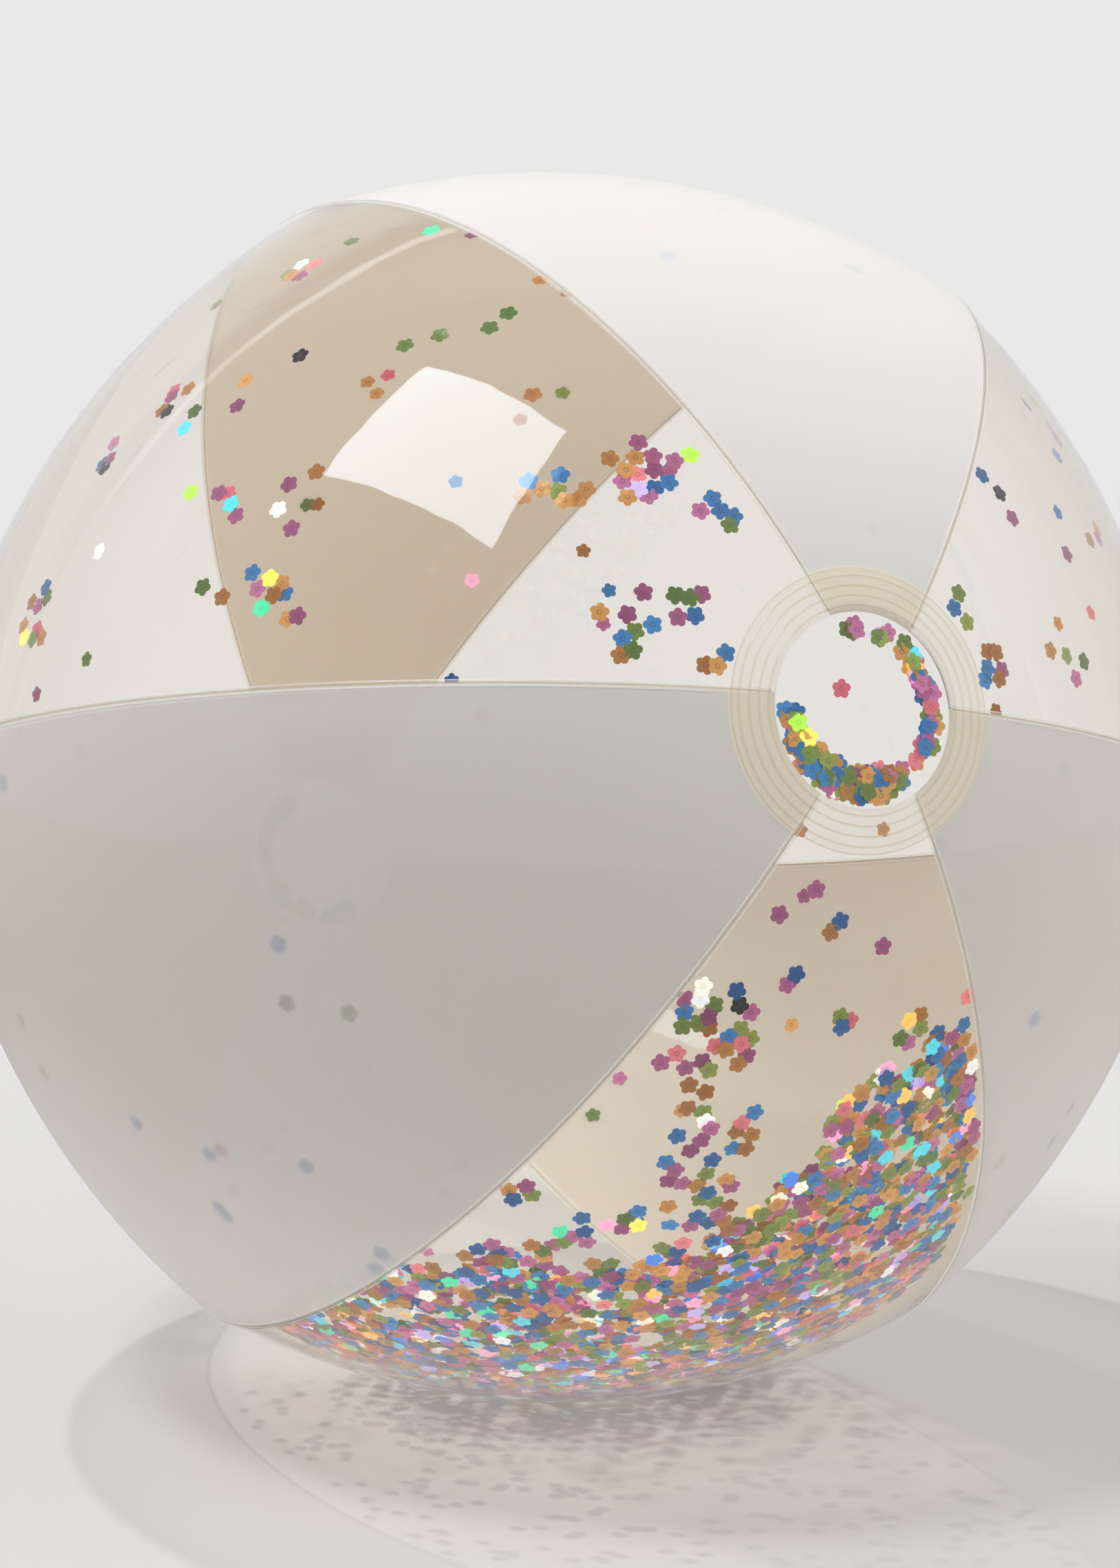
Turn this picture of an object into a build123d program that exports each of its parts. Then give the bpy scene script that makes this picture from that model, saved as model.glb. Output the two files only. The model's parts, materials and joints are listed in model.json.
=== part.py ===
"""Inflatable beach ball: six film gores welded pole to pole, a round disc over each pole, a push-in
inflation valve with its plug, and flower-shaped foil confetti loose inside.

Frame: millimetres, origin at the ball's centre, +Z up, standing on the ground. The front pole faces -Y
and is tipped up. Each gore is part of an ellipsoid that meets its neighbours in a circular seam, so the
seams stand proud as ridges and the middle of each gore is a little flatter than a sphere.
"""

import math
import os
import random

from build123d import *

# Ball
BALL_RADIUS = 175.0  # ball centre to a seam
GORE_COUNT = 6
GORE_FLATNESS = 0.972  # reach of a gore's middle over the reach of its seams, at the equator
FILM = 0.3
SEAM_GAP = 0.05  # the weld line between two gores
GORE_OPENING = 24.2  # radius of the round opening that the gore ends leave at each pole
POLE_TILT = 16.0  # height of the front pole above the horizon, degrees
POLE_ROLL = 9.0  # turn of the top gore's middle away from straight up, degrees
PATCH_SINK = 1.1  # how far the ground pushes the ball's lowest point in

# Pole discs
DISC_RADIUS = 35.5
DISC_FILM = 0.45
DISC_CLEARANCE = 0.1
DISC_SHIFT = 1.1  # the front disc is welded this far off the pole, degrees
DISC_SHIFT_TURN = 137.0  # round the pole from the top gore's middle, degrees
RIB_RADII = (26.0, 28.5, 31.0, 33.5)  # rings that the welding tool leaves on the disc
RIB_WIRE = 0.35  # radius of a rib's round section

# Valve, measured along its own axis from the outside of the film
VALVE_GORE = 2
VALVE_POLAR = 140.0  # angle from the front pole, degrees
GORE_VALVE_HOLE = 10.5
HOLE_CUT = 20.0  # length of the cutter for that hole
FLANGE_RADIUS = 17.0
FLANGE_THICKNESS = 0.8
FLANGE_TOP = -0.45
FLANGE_DOME = 165.0  # the flange is domed a little more tightly than the film over it
COLLAR_BORE = 6.5
COLLAR_OUTER = 7.8
COLLAR_BOTTOM = -5.5
STEM_OUTER = 6.4
STEM_BORE = 4.0
STEM_BOTTOM = -20.0
LIP_RADIUS = 9.0
LIP_BOTTOM = FLANGE_TOP + 0.05
LIP_TOP = 0.6
STOP_RING_RADIUS = 7.7
STOP_RING_HEIGHT = 1.6
FLAP_RADIUS = 5.4
FLAP_THICKNESS = 0.4
FLAP_GAP = 0.05
FLAP_PIN_RADIUS = 0.35
FLAP_PIN_LENGTH = 5.0
PLUG_RADIUS = 3.9
PLUG_TIP_RADIUS = 3.4
PLUG_LENGTH = 7.5
PLUG_HEAD_RADIUS = 5.8
PLUG_HEAD_THICKNESS = 1.2
PLUG_TAB_WIDTH = 5.0
PLUG_TAB_REACH = 11.0
PLUG_GAP = 0.05  # between the stem's lip and the plug's head
PLUG_CORNER = 1.2  # rounding of the tab's corners, seen from above
RIM_ROUNDING = 0.3  # rounding of the outer rims of the stem's lip and the plug's head
STRAP_WIDTH = 4.0
STRAP_THICKNESS = 0.7
STRAP_REACH = 15.0  # how far the folded strap reaches sideways from the valve's axis
STRAP_GAP = 0.1

# Confetti
PETALS = 5
PETAL_CENTRE = 1.45
PETAL_RADIUS = 1.05
FOIL = 0.1
FLOWER_EYE = 0.5  # radius of the pressed dot in the flower's middle
EYE_RISE = 0.06
FLOWER_LIFT = 0.12  # clearance between a clinging flower and the film
FLOWER_SPACING = 6.0  # least distance between the centres of two clinging flowers
SEAM_CLEARANCE = 3.0  # least way round the ball from a seam to a flower's centre, degrees
GROUND_CLEARANCE = 5.0  # least height of a clinging flower's centre above the ground
COLOURS = ("mauve", "blue", "green", "ochre", "coral", "iridescent")
FLOWERS_PER_COLOUR = 26
HUB_FLOWERS_PER_COLOUR = 3
HUB_RING = 20.5  # radius at which flowers lodge behind a pole disc
HUB_DEPTH = 0.8  # of those flowers under the disc
CONFETTI_SEED = 7

# Loose confetti heap: a shallow lens lying on the inside of the film
HEAP_RADIUS = 168.6
HEAP_DEPTH = 1.5
HEAP_SPREAD = 42.0  # half angle, degrees
HEAP_FEATHER = 3.0  # how much further out its thickness would run down to nothing, degrees
HEAP_POLAR = 80.0  # angle of its middle from the front pole, degrees
HEAP_TURN = 20.0  # round the pole from the bottom gore's middle, degrees
HEAP_WIDTH = 58.0  # it stays between the bottom gore's seams, degrees round the pole

os.makedirs("parts", exist_ok=True)

# Derived sizes. With this widening the ellipsoid meets the seam planes in circles of BALL_RADIUS.
gore_half = math.radians(180 / GORE_COUNT)
GORE_WIDENING = 1 / math.sqrt(1 - (1 / GORE_FLATNESS**2 - 1) / math.tan(gore_half) ** 2)
GORE_SCALE = (GORE_FLATNESS, GORE_WIDENING, 1)
seam_half = gore_half - SEAM_GAP / 2 / BALL_RADIUS
SPHERE_WEDGE = 2 * math.degrees(math.atan(math.tan(seam_half) * GORE_FLATNESS / GORE_WIDENING))
GORE_STEP = 360 / GORE_COUNT


def turned(plane, about_z, about_y=0):
    """A plane turned about its own Z and then about its own Y."""
    return Plane(plane.location * Rotation(0, 0, about_z) * Rotation(0, about_y, 0))


# Frames. In the pole frame Z is the front pole and X is the middle of the top gore.
tilt = math.radians(POLE_TILT)
upright_frame = Plane(
    origin=(0, 0, 0),
    x_dir=(0, math.sin(tilt), math.cos(tilt)),
    z_dir=(0, -math.cos(tilt), math.sin(tilt)),
)
POLE_FRAME = turned(upright_frame, -POLE_ROLL)
REAR_FRAME = Plane(origin=(0, 0, 0), x_dir=POLE_FRAME.x_dir, z_dir=-POLE_FRAME.z_dir)


def gore_frame(index):
    """The pole frame turned so that X is the middle of a gore."""
    return turned(POLE_FRAME, GORE_STEP * index)


def film_plane(polar, azimuth, inset):
    """A plane on the film in a gore's frame, inset from the outside, with its Z pointing outwards."""
    half_step = GORE_STEP / 2
    index = math.floor((azimuth + half_step) / GORE_STEP)
    side = math.radians(azimuth - GORE_STEP * index)
    theta = math.radians(polar)
    ray = Vector(math.sin(theta) * math.cos(side), math.sin(theta) * math.sin(side), math.cos(theta))
    a, b, c = (BALL_RADIUS * factor for factor in GORE_SCALE)
    reach = 1 / math.sqrt((ray.X / a) ** 2 + (ray.Y / b) ** 2 + (ray.Z / c) ** 2)
    point = ray * reach
    normal = Vector(point.X / a**2, point.Y / b**2, point.Z / c**2).normalized()
    local = Plane(origin=point - normal * inset, z_dir=normal)
    return Plane(gore_frame(index).location * local.location)


VALVE_FRAME = film_plane(VALVE_POLAR, GORE_STEP * VALVE_GORE, 0)


def write(part, name):
    """Labels a finished piece and writes its STEP file."""
    part.label = name
    export_step(part, f"parts/{name}.step")


# ---------------------------------------------------------------- gores


def gore_blank(outer, filled=False):
    """A gore about its own frame: a sphere's wedge, stretched into the ellipsoid's."""
    with BuildPart() as blank:
        with BuildSketch(turned(Plane.XZ, 0, -SPHERE_WEDGE / 2)):
            Circle(outer)
            if not filled:
                Circle(outer - FILM, mode=Mode.SUBTRACT)
            with Locations((GORE_OPENING, 0)):
                Rectangle(outer, 2 * outer, align=(Align.MIN, Align.CENTER), mode=Mode.INTERSECT)
        revolve(axis=Axis.Z, revolution_arc=SPHERE_WEDGE)
    return scale(blank.part, by=GORE_SCALE)


def film_gore(index):
    """A plain gore in its place."""
    return gore_frame(index).from_local_coords(gore_blank(BALL_RADIUS))


def valve_gore():
    """The gore with the round hole that the valve sits in."""
    whole = film_gore(VALVE_GORE)
    with BuildPart() as gore:
        add(whole)
        with Locations(VALVE_FRAME.location):
            Cylinder(GORE_VALVE_HOLE, HOLE_CUT, mode=Mode.SUBTRACT)
    return gore.part


def ground_height():
    """The ground's Z: the lowest point of the bottom gore's ellipsoid, raised by the sink."""
    down = gore_frame(GORE_COUNT // 2).to_local_coords(Vector(0, 0, -1))
    semi_axes = [BALL_RADIUS * factor for factor in GORE_SCALE]
    reach = math.sqrt(sum((s * d) ** 2 for s, d in zip(semi_axes, tuple(down))))
    return PATCH_SINK - reach


def ground_gore():
    """The gore that stands on the ground, with the flat patch that the ball's weight presses into it."""
    index = GORE_COUNT // 2
    whole = film_gore(index)
    filled = gore_frame(index).from_local_coords(gore_blank(BALL_RADIUS, filled=True))
    with BuildPart() as patch:
        add(filled)
        with Locations((0, 0, ground_height())):
            Box(
                2 * BALL_RADIUS,
                2 * BALL_RADIUS,
                FILM,
                align=(Align.CENTER, Align.CENTER, Align.MIN),
                mode=Mode.INTERSECT,
            )
    with BuildPart() as gore:
        add(whole)
        split(bisect_by=Plane.XY.offset(ground_height()), keep=Keep.TOP)
        add(patch.part)
    return gore.part


GORE_NAMES = (
    "gore_milky_top",
    "gore_clear_left",
    "gore_milky_left",
    "gore_clear_bottom",
    "gore_milky_right",
    "gore_clear_right",
)
for index, name in enumerate(GORE_NAMES):
    if index == VALVE_GORE:
        write(valve_gore(), name)
    elif index == GORE_COUNT // 2:
        write(ground_gore(), name)
    else:
        write(film_gore(index), name)

# ---------------------------------------------------------------- pole discs

disc_inner = BALL_RADIUS + DISC_CLEARANCE
disc_outer = disc_inner + DISC_FILM
with BuildPart() as pole_disc:
    with BuildSketch(Plane.XZ):
        Circle(disc_outer)
        for rib_radius in RIB_RADII:
            with Locations((rib_radius, math.sqrt(disc_outer**2 - rib_radius**2))):
                Circle(RIB_WIRE)
        Circle(disc_inner, mode=Mode.SUBTRACT)
        with Locations((0, disc_outer)):
            Rectangle(DISC_RADIUS, disc_outer, align=(Align.MIN, Align.CENTER), mode=Mode.INTERSECT)
    revolve(axis=Axis.Z)
front_disc_frame = turned(POLE_FRAME, DISC_SHIFT_TURN, DISC_SHIFT)
write(front_disc_frame.from_local_coords(pole_disc.part), "pole_disc_front")
write(REAR_FRAME.from_local_coords(pole_disc.part), "pole_disc_rear")

# ---------------------------------------------------------------- valve, in its own frame

with BuildPart() as valve_base:
    with BuildSketch(Plane.XZ):
        with Locations((0, FLANGE_TOP - FLANGE_DOME)):
            Circle(FLANGE_DOME)
            Circle(FLANGE_DOME - FLANGE_THICKNESS, mode=Mode.SUBTRACT)
        with Locations((COLLAR_BORE, FLANGE_TOP)):
            Rectangle(
                FLANGE_RADIUS - COLLAR_BORE,
                2 * FLANGE_RADIUS,
                align=(Align.MIN, Align.CENTER),
                mode=Mode.INTERSECT,
            )
        with Locations((COLLAR_BORE, COLLAR_BOTTOM)):
            Rectangle(
                COLLAR_OUTER - COLLAR_BORE,
                FLANGE_TOP - FLANGE_THICKNESS - COLLAR_BOTTOM,
                align=(Align.MIN, Align.MIN),
            )
    revolve(axis=Axis.Z)
write(VALVE_FRAME.from_local_coords(valve_base.part), "valve_base")

with BuildPart() as valve_stem:
    with BuildSketch(Plane.XY.offset(STEM_BOTTOM)):
        Circle(STEM_OUTER)
    extrude(amount=LIP_TOP - STEM_BOTTOM)
    with BuildSketch(Plane.XY.offset(LIP_BOTTOM)):
        Circle(LIP_RADIUS)
    extrude(amount=LIP_TOP - LIP_BOTTOM)
    fillet(valve_stem.edges().group_by(Axis.Z)[-1].sort_by(SortBy.LENGTH)[-1], RIM_ROUNDING)
    with BuildSketch(Plane.XY.offset(STEM_BOTTOM)):
        Circle(STOP_RING_RADIUS)
    extrude(amount=STOP_RING_HEIGHT)
    Hole(STEM_BORE)
write(VALVE_FRAME.from_local_coords(valve_stem.part), "valve_stem")

flap_top = STEM_BOTTOM - FLAP_GAP
flap_pin_x = FLAP_RADIUS + FLAP_PIN_RADIUS
flap_pin_z = flap_top - FLAP_PIN_RADIUS
with BuildPart() as valve_flap:
    with BuildSketch(Plane.XY.offset(flap_top)):
        Circle(FLAP_RADIUS)
        with Locations((flap_pin_x / 2, 0)):
            Rectangle(flap_pin_x, FLAP_PIN_LENGTH)
    extrude(amount=-FLAP_THICKNESS)
    with BuildSketch(Plane.XZ.offset(-FLAP_PIN_LENGTH / 2)):
        with Locations((flap_pin_x, flap_pin_z)):
            Circle(FLAP_PIN_RADIUS)
    extrude(amount=FLAP_PIN_LENGTH)
write(VALVE_FRAME.from_local_coords(valve_flap.part), "valve_flap")

plug_seat = LIP_TOP + PLUG_GAP
with BuildPart() as valve_plug:
    with BuildSketch(Plane.XY.offset(plug_seat)):
        Circle(PLUG_RADIUS)
    with BuildSketch(Plane.XY.offset(plug_seat - PLUG_LENGTH)):
        Circle(PLUG_TIP_RADIUS)
    loft()
    with BuildSketch(Plane.XY.offset(plug_seat)) as plug_head:
        Circle(PLUG_HEAD_RADIUS)
        Rectangle(PLUG_TAB_REACH, PLUG_TAB_WIDTH, align=(Align.MIN, Align.CENTER))
        fillet(plug_head.vertices(), PLUG_CORNER)
    extrude(amount=PLUG_HEAD_THICKNESS)
    fillet(valve_plug.edges().group_by(Axis.Z)[-1], RIM_ROUNDING)
write(VALVE_FRAME.from_local_coords(valve_plug.part), "valve_plug")

# The strap runs from the stem's lip out sideways, turns back over itself and ends at the plug's head.
strap_low = LIP_TOP - STRAP_THICKNESS
strap_high = plug_seat + PLUG_HEAD_THICKNESS
strap_turn = (strap_high - strap_low) / 2
strap_middle = (strap_high + strap_low) / 2
strap_bend = -STRAP_REACH + strap_turn
with BuildPart() as valve_strap:
    with BuildSketch(Plane.XZ.offset(-STRAP_WIDTH / 2)):
        with Locations((strap_bend, strap_middle)):
            Circle(strap_turn)
            Rectangle(-strap_bend, 2 * strap_turn, align=(Align.MIN, Align.CENTER))
            Circle(strap_turn - STRAP_THICKNESS, mode=Mode.SUBTRACT)
            Rectangle(
                -strap_bend,
                2 * (strap_turn - STRAP_THICKNESS),
                align=(Align.MIN, Align.CENTER),
                mode=Mode.SUBTRACT,
            )
        with Locations((0, strap_middle)):
            Rectangle(2 * (PLUG_HEAD_RADIUS + STRAP_GAP), 2 * strap_turn, mode=Mode.SUBTRACT)
        with Locations((0, strap_low)):
            Rectangle(2 * (LIP_RADIUS + STRAP_GAP), 2 * STRAP_THICKNESS, mode=Mode.SUBTRACT)
    extrude(amount=STRAP_WIDTH)
write(VALVE_FRAME.from_local_coords(valve_strap.part), "valve_strap")

# ---------------------------------------------------------------- confetti

with BuildPart() as flower:
    with BuildSketch():
        Circle(PETAL_CENTRE)
        with PolarLocations(PETAL_CENTRE, PETALS):
            Circle(PETAL_RADIUS)
    extrude(amount=-FOIL)
    with BuildSketch():
        Circle(FLOWER_EYE)
    extrude(amount=-FOIL - EYE_RISE)

rng = random.Random(CONFETTI_SEED)
valve_spot = VALVE_FRAME.origin


def scattered_planes(count, taken):
    """Places on the inside of the gores, clear of each other, the poles, the seams and the valve."""
    found = []
    while len(found) < count:
        polar = math.degrees(math.acos(rng.uniform(-0.95, 0.95)))
        azimuth = rng.uniform(0, 360)
        off_seam = abs((azimuth % GORE_STEP) - GORE_STEP / 2)
        if off_seam < SEAM_CLEARANCE / math.sin(math.radians(polar)):
            continue
        plane = film_plane(polar, azimuth, FILM + FLOWER_LIFT)
        near_valve = (plane.origin - valve_spot).length < FLANGE_RADIUS + FLOWER_SPACING
        crowded = any((plane.origin - other).length < FLOWER_SPACING for other in taken)
        on_ground = plane.origin.Z < ground_height() + GROUND_CLEARANCE
        if near_valve or crowded or on_ground:
            continue
        taken.append(plane.origin)
        found.append(turned(plane, rng.uniform(0, 360 / PETALS)))
    return found


def hub_planes(start, count):
    """Places just behind the front pole disc, on the ring where its weld begins."""
    found = []
    step = 360 / (len(COLOURS) * HUB_FLOWERS_PER_COLOUR)
    height = math.sqrt(disc_inner**2 - HUB_RING**2) - HUB_DEPTH
    for number in range(count):
        angle = math.radians(step * (start + number * len(COLOURS)))
        spot = Vector(HUB_RING * math.cos(angle), HUB_RING * math.sin(angle), height)
        local = Plane(origin=spot, z_dir=spot)
        found.append(Plane(POLE_FRAME.location * local.location))
    return found


taken = []
for number, colour in enumerate(COLOURS):
    places = scattered_planes(FLOWERS_PER_COLOUR, taken)
    places += hub_planes(number, HUB_FLOWERS_PER_COLOUR)
    with BuildPart() as confetti:
        with Locations(*[plane.location for plane in places]):
            add(flower.part)
    write(confetti.part, f"confetti_{colour}")

feather = math.radians(HEAP_SPREAD + HEAP_FEATHER)
feather_reach = HEAP_RADIUS * math.sin(feather)
feather_drop = HEAP_RADIUS - HEAP_DEPTH - HEAP_RADIUS * math.cos(feather)
heap_top_radius = (feather_reach**2 + feather_drop**2) / (2 * feather_drop)
with BuildPart() as confetti_heap:
    with BuildSketch(Plane.XZ):
        Circle(HEAP_RADIUS)
        with Locations((0, HEAP_RADIUS - HEAP_DEPTH - heap_top_radius)):
            Circle(heap_top_radius, mode=Mode.SUBTRACT)
        Rectangle(
            HEAP_RADIUS * math.sin(math.radians(HEAP_SPREAD)),
            2 * HEAP_RADIUS,
            align=(Align.MIN, Align.CENTER),
            mode=Mode.INTERSECT,
        )
    revolve(axis=Axis.Z)
heap_lens = turned(Plane.XY, HEAP_TURN, HEAP_POLAR).from_local_coords(confetti_heap.part)
with BuildPart() as bottom_heap:
    with BuildSketch(turned(Plane.XZ, 0, -HEAP_WIDTH / 2)):
        Rectangle(BALL_RADIUS, 2 * BALL_RADIUS, align=(Align.MIN, Align.CENTER))
    revolve(axis=Axis.Z, revolution_arc=HEAP_WIDTH)
    add(heap_lens, mode=Mode.INTERSECT)
write(gore_frame(GORE_COUNT // 2).from_local_coords(bottom_heap.part), "confetti_heap")
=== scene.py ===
"""Looks of the inflatable beach ball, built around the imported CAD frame.

The film gores, seam laps, pole discs and confetti are Blender meshes that stand for their CAD nodes.
The valve's hard pieces are the CAD nodes with new materials. Units are metres, in the CAD's frame.
"""

import json
import math
import random

import bmesh
import bpy
import numpy as np
from mathutils import Matrix, Vector, noise


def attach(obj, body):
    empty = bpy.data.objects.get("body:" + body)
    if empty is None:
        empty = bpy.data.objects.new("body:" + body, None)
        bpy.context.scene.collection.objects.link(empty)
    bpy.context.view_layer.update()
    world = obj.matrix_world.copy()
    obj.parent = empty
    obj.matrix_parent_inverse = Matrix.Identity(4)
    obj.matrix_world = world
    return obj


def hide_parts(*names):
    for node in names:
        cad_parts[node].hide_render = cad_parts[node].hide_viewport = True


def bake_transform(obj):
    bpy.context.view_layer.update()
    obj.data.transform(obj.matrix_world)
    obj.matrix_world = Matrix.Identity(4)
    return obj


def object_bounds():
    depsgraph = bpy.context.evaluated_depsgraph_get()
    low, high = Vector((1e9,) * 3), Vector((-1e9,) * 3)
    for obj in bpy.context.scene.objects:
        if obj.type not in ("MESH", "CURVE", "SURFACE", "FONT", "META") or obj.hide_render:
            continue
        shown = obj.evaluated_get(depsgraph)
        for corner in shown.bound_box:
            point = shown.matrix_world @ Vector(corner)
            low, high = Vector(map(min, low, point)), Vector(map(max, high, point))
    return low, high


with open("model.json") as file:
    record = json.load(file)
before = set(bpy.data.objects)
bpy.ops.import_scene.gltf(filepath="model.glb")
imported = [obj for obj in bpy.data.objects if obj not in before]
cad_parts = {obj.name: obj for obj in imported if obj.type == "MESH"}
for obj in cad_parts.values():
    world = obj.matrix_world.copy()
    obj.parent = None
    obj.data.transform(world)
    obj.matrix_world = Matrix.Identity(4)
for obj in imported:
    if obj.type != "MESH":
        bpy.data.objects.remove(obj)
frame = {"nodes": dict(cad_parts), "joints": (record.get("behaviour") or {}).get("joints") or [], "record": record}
cad_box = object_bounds()

MM = 0.001
nodes = frame["nodes"]
joints = {joint["name"]: joint for joint in frame["joints"]}
mounts = {mount["name"]: mount for mount in frame["record"]["mounts"]}

# ------------------------------------------------------------------ sizes of the ball

GORE_COUNT = 6
GORE_FLATNESS = 0.972
FILM = 0.3 * MM
OPENING = 24.2 * MM
DISC_RADIUS = 35.5 * MM
DISC_SHIFT = math.radians(1.1)  # the front disc is welded this far off the pole
DISC_SHIFT_TURN = math.radians(137)
SEAM_WIDTH = 1.8 * MM
# The camera's direction from the ball, and its right.
AZIMUTH = math.radians(-27)
ELEVATION = math.radians(10)
TOWARD = np.array(
    [
        math.cos(ELEVATION) * math.sin(AZIMUTH),
        -math.cos(ELEVATION) * math.cos(AZIMUTH),
        math.sin(ELEVATION),
    ]
)
RIGHT = np.array([math.cos(AZIMUTH), math.sin(AZIMUTH), 0])
GROUND = cad_box[0][2]


def np_unit(vector):
    vector = np.array(vector, float)
    return vector / np.linalg.norm(vector)


def node_points(name):
    data = nodes[name].data
    points = np.empty(len(data.vertices) * 3)
    data.vertices.foreach_get("co", points)
    return points.reshape(-1, 3)


POLE = np_unit(joints["confetti_roll"]["axis"])
BALL_RADIUS = float(np.linalg.norm(node_points("gore_milky_top"), axis=1).max())
HALF_GORE = math.pi / GORE_COUNT
GORE_WIDENING = 1 / math.sqrt(1 - (1 / GORE_FLATNESS**2 - 1) / math.tan(HALF_GORE) ** 2)
SEMI_AXES = np.array([GORE_FLATNESS, GORE_WIDENING, 1.0]) * BALL_RADIUS


def middle_of(name):
    """The direction, square to the pole, of the middle of a CAD gore."""
    points = node_points(name)
    rough = points.mean(axis=0)
    rough = np_unit(rough - rough @ POLE * POLE)
    across = np.cross(POLE, rough)
    angles = np.arctan2(points @ across, points @ rough)
    turn = (angles.min() + angles.max()) / 2
    return rough * math.cos(turn) + across * math.sin(turn)


TOP_MIDDLE = middle_of("gore_milky_top")
TOP_SIDE = np.cross(POLE, TOP_MIDDLE)
DISC_AXIS = np_unit(
    POLE * math.cos(DISC_SHIFT)
    + math.sin(DISC_SHIFT)
    * (TOP_MIDDLE * math.cos(DISC_SHIFT_TURN) + TOP_SIDE * math.sin(DISC_SHIFT_TURN))
)
POLE_MATRIX = np.array([TOP_MIDDLE, TOP_SIDE, POLE])  # rows: the pole frame's axes


def ball_point(polar, azimuth, inset=0.0):
    """Points on the film at polar and azimuth angles in radians, inset from its outside."""
    polar, azimuth = np.broadcast_arrays(polar, azimuth)
    index = np.floor((azimuth + HALF_GORE) / (2 * HALF_GORE))
    middle = index * 2 * HALF_GORE
    side = azimuth - middle
    ray = np.stack(
        [np.sin(polar) * np.cos(side), np.sin(polar) * np.sin(side), np.cos(polar)], axis=-1
    )
    axes = SEMI_AXES - inset
    local = ray / np.sqrt(((ray / axes) ** 2).sum(axis=-1))[..., None]
    x = local[..., 0] * np.cos(middle) - local[..., 1] * np.sin(middle)
    y = local[..., 0] * np.sin(middle) + local[..., 1] * np.cos(middle)
    return np.stack([x, y, local[..., 2]], axis=-1) @ POLE_MATRIX


def film_normal(polar, azimuth):
    """The film's outward normal at one point, by small differences."""
    step = 1e-3
    here = ball_point(polar, azimuth)
    down = ball_point(polar + step, azimuth) - here
    round_ = ball_point(polar, azimuth + step) - here
    return np_unit(np.cross(down, round_))


# ------------------------------------------------------------------ materials


def new_material(name):
    material = bpy.data.materials.new(name)
    material.use_nodes = True
    tree = material.node_tree
    tree.nodes.clear()
    return material, tree


class Graph:
    """Short calls for wiring a node tree."""

    def __init__(self, tree):
        self.tree = tree

    def node(self, kind, **values):
        made = self.tree.nodes.new(kind)
        for key, value in values.items():
            setattr(made, key, value)
        return made

    def link(self, source, target):
        self.tree.links.new(source, target)

    def put(self, made, inputs):
        """Sets or links the inputs of a node by name or index."""
        for key, value in inputs.items():
            socket = made.inputs[key]
            if isinstance(value, bpy.types.NodeSocket):
                self.link(value, socket)
            else:
                socket.default_value = value
        return made

    def math(self, operation, a, b=0.0, c=0.0, clamp=False):
        made = self.node("ShaderNodeMath", operation=operation, use_clamp=clamp)
        self.put(made, {0: a, 1: b, 2: c})
        return made.outputs[0]

    def vector(self, operation, a, b=(0, 0, 0)):
        made = self.node("ShaderNodeVectorMath", operation=operation)
        self.put(made, {0: a, 1: b})
        return made

    def step(self, value, low, high, to_low=0.0, to_high=1.0):
        """A smooth step of value from low to high."""
        made = self.node("ShaderNodeMapRange", interpolation_type="SMOOTHSTEP")
        self.put(made, {0: value, 1: low, 2: high, 3: to_low, 4: to_high})
        return made.outputs[0]

    def colour(self, factor, a, b, blend="MIX"):
        made = self.node("ShaderNodeMix", data_type="RGBA", blend_type=blend)
        self.put(made, {0: factor, 6: a, 7: b})
        return made.outputs[2]

    def mix(self, factor, a, b):
        made = self.node("ShaderNodeMixShader")
        self.put(made, {0: factor, 1: a, 2: b})
        return made.outputs[0]

    def noise(self, scale, detail=3.0, roughness=0.5, vector=None):
        made = self.node("ShaderNodeTexNoise")
        self.put(made, {"Scale": scale, "Detail": detail, "Roughness": roughness})
        if vector is not None:
            self.link(vector, made.inputs["Vector"])
        return made.outputs["Fac"]

    def bump(self, height, strength, distance):
        made = self.node("ShaderNodeBump")
        self.put(made, {"Strength": strength, "Distance": distance, "Height": height})
        return made.outputs["Normal"]

    def attribute(self, name):
        return self.node("ShaderNodeAttribute", attribute_name=name).outputs["Fac"]

    def finish(self, shader):
        output = self.node("ShaderNodeOutputMaterial")
        self.link(shader, output.inputs["Surface"])


def srgb(red, green, blue):
    """A linear colour from 0 to 255 screen values."""
    channels = []
    for value in (red, green, blue):
        value /= 255
        channels.append(value / 12.92 if value <= 0.04045 else ((value + 0.055) / 1.055) ** 2.4)
    return (*channels, 1.0)


FILM_IOR = 1.5
MILKY_SHADE = (1.0, 0.98, 0.95, 1)
NIGHT = srgb(34, 28, 40)


def film_fresnel(graph, normal):
    """Fresnel share that is the same from inside and outside the film."""
    back = graph.node("ShaderNodeNewGeometry").outputs["Backfacing"]
    ior = graph.math("MULTIPLY_ADD", back, 1 / FILM_IOR - FILM_IOR, FILM_IOR)
    fresnel = graph.node("ShaderNodeFresnel")
    graph.put(fresnel, {"IOR": ior, "Normal": normal})
    return fresnel.outputs[0]


def film_gloss(graph, normal):
    """How much the film mirrors: a little face on, and much more at a glancing angle."""
    fresnel = film_fresnel(graph, normal)
    glancing = graph.math("MULTIPLY_ADD", fresnel, 1.9, 0.55)
    return graph.math("MULTIPLY", fresnel, glancing, clamp=True)


def sheer(graph, shader, share, tint):
    """Lets a share of the light straight through where the surface would cast a shadow."""
    shadow = graph.node("ShaderNodeLightPath").outputs["Is Shadow Ray"]
    through = graph.node("ShaderNodeBsdfTransparent")
    through.inputs["Color"].default_value = tint
    return graph.mix(graph.math("MULTIPLY", shadow, share), shader, through.outputs[0])


def object_position(graph):
    return graph.node("ShaderNodeTexCoord").outputs["Object"]


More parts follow.
